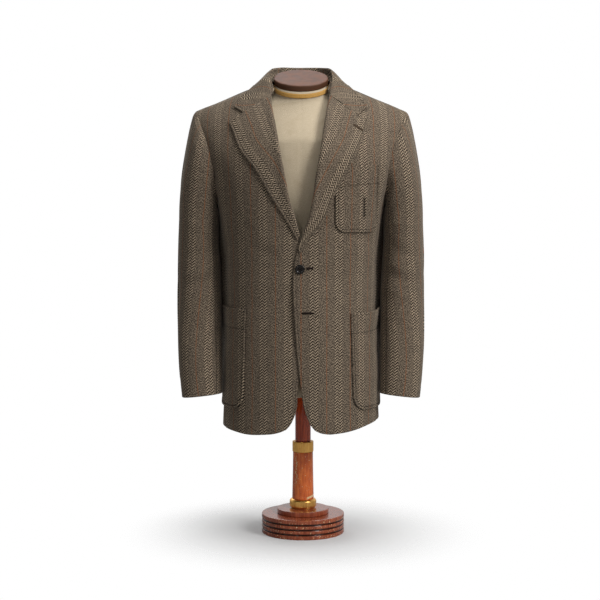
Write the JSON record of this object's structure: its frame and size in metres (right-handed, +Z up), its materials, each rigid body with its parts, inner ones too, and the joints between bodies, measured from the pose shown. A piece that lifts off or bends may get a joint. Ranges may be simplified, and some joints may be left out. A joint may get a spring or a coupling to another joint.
{
  "type": "suit jacket on a dress form with stand",
  "caption": "Two-button jacket in herringbone tweed with notch lapels and patch pockets, worn by a limbless dress form on a turned wooden stand.",
  "frame": {"origin": "centre of the stand's foot, on the floor", "axes": "+Z up along the stand's post, -Y is the way the wearer faces, +X is the wearer's left"},
  "size_m": [0.5536, 0.3092, 1.0563],
  "materials": {
    "tweed": "brown and cream herringbone wool tweed, matt, napped",
    "horn": "near-black button, satin, sunken face",
    "linen": "natural linen cover of the dress form, matt",
    "braid": "plain ochre braid",
    "cap": "stained neck cap, satin",
    "wood": "turned red-brown varnished wood, worn and chipped",
    "brass": "aged brass rings"
  },
  "bodies": {
    "root": {"back_left": "tweed", "back_right": "tweed", "base_plinth": "wood", "base_step": "wood", "button_lower": "horn", "button_upper": "horn", "collar_fall": "tweed", "collar_stand": "tweed", "form_body": "linen", "front_left": "tweed", "front_right": "tweed", "lapel_left": "tweed", "lapel_right": "tweed", "neck_braid": "braid", "neck_cap": "cap", "pocket_chest": "tweed", "pocket_lower_left": "tweed", "pocket_lower_right": "tweed", "post_lower": "wood", "post_upper": "wood", "ring_lower": "brass", "ring_upper": "brass", "side_left": "tweed", "side_right": "tweed", "sleeve_top_left": "tweed", "sleeve_top_right": "tweed", "sleeve_under_left": "tweed", "sleeve_under_right": "tweed"}
  },
  "joints": []
}
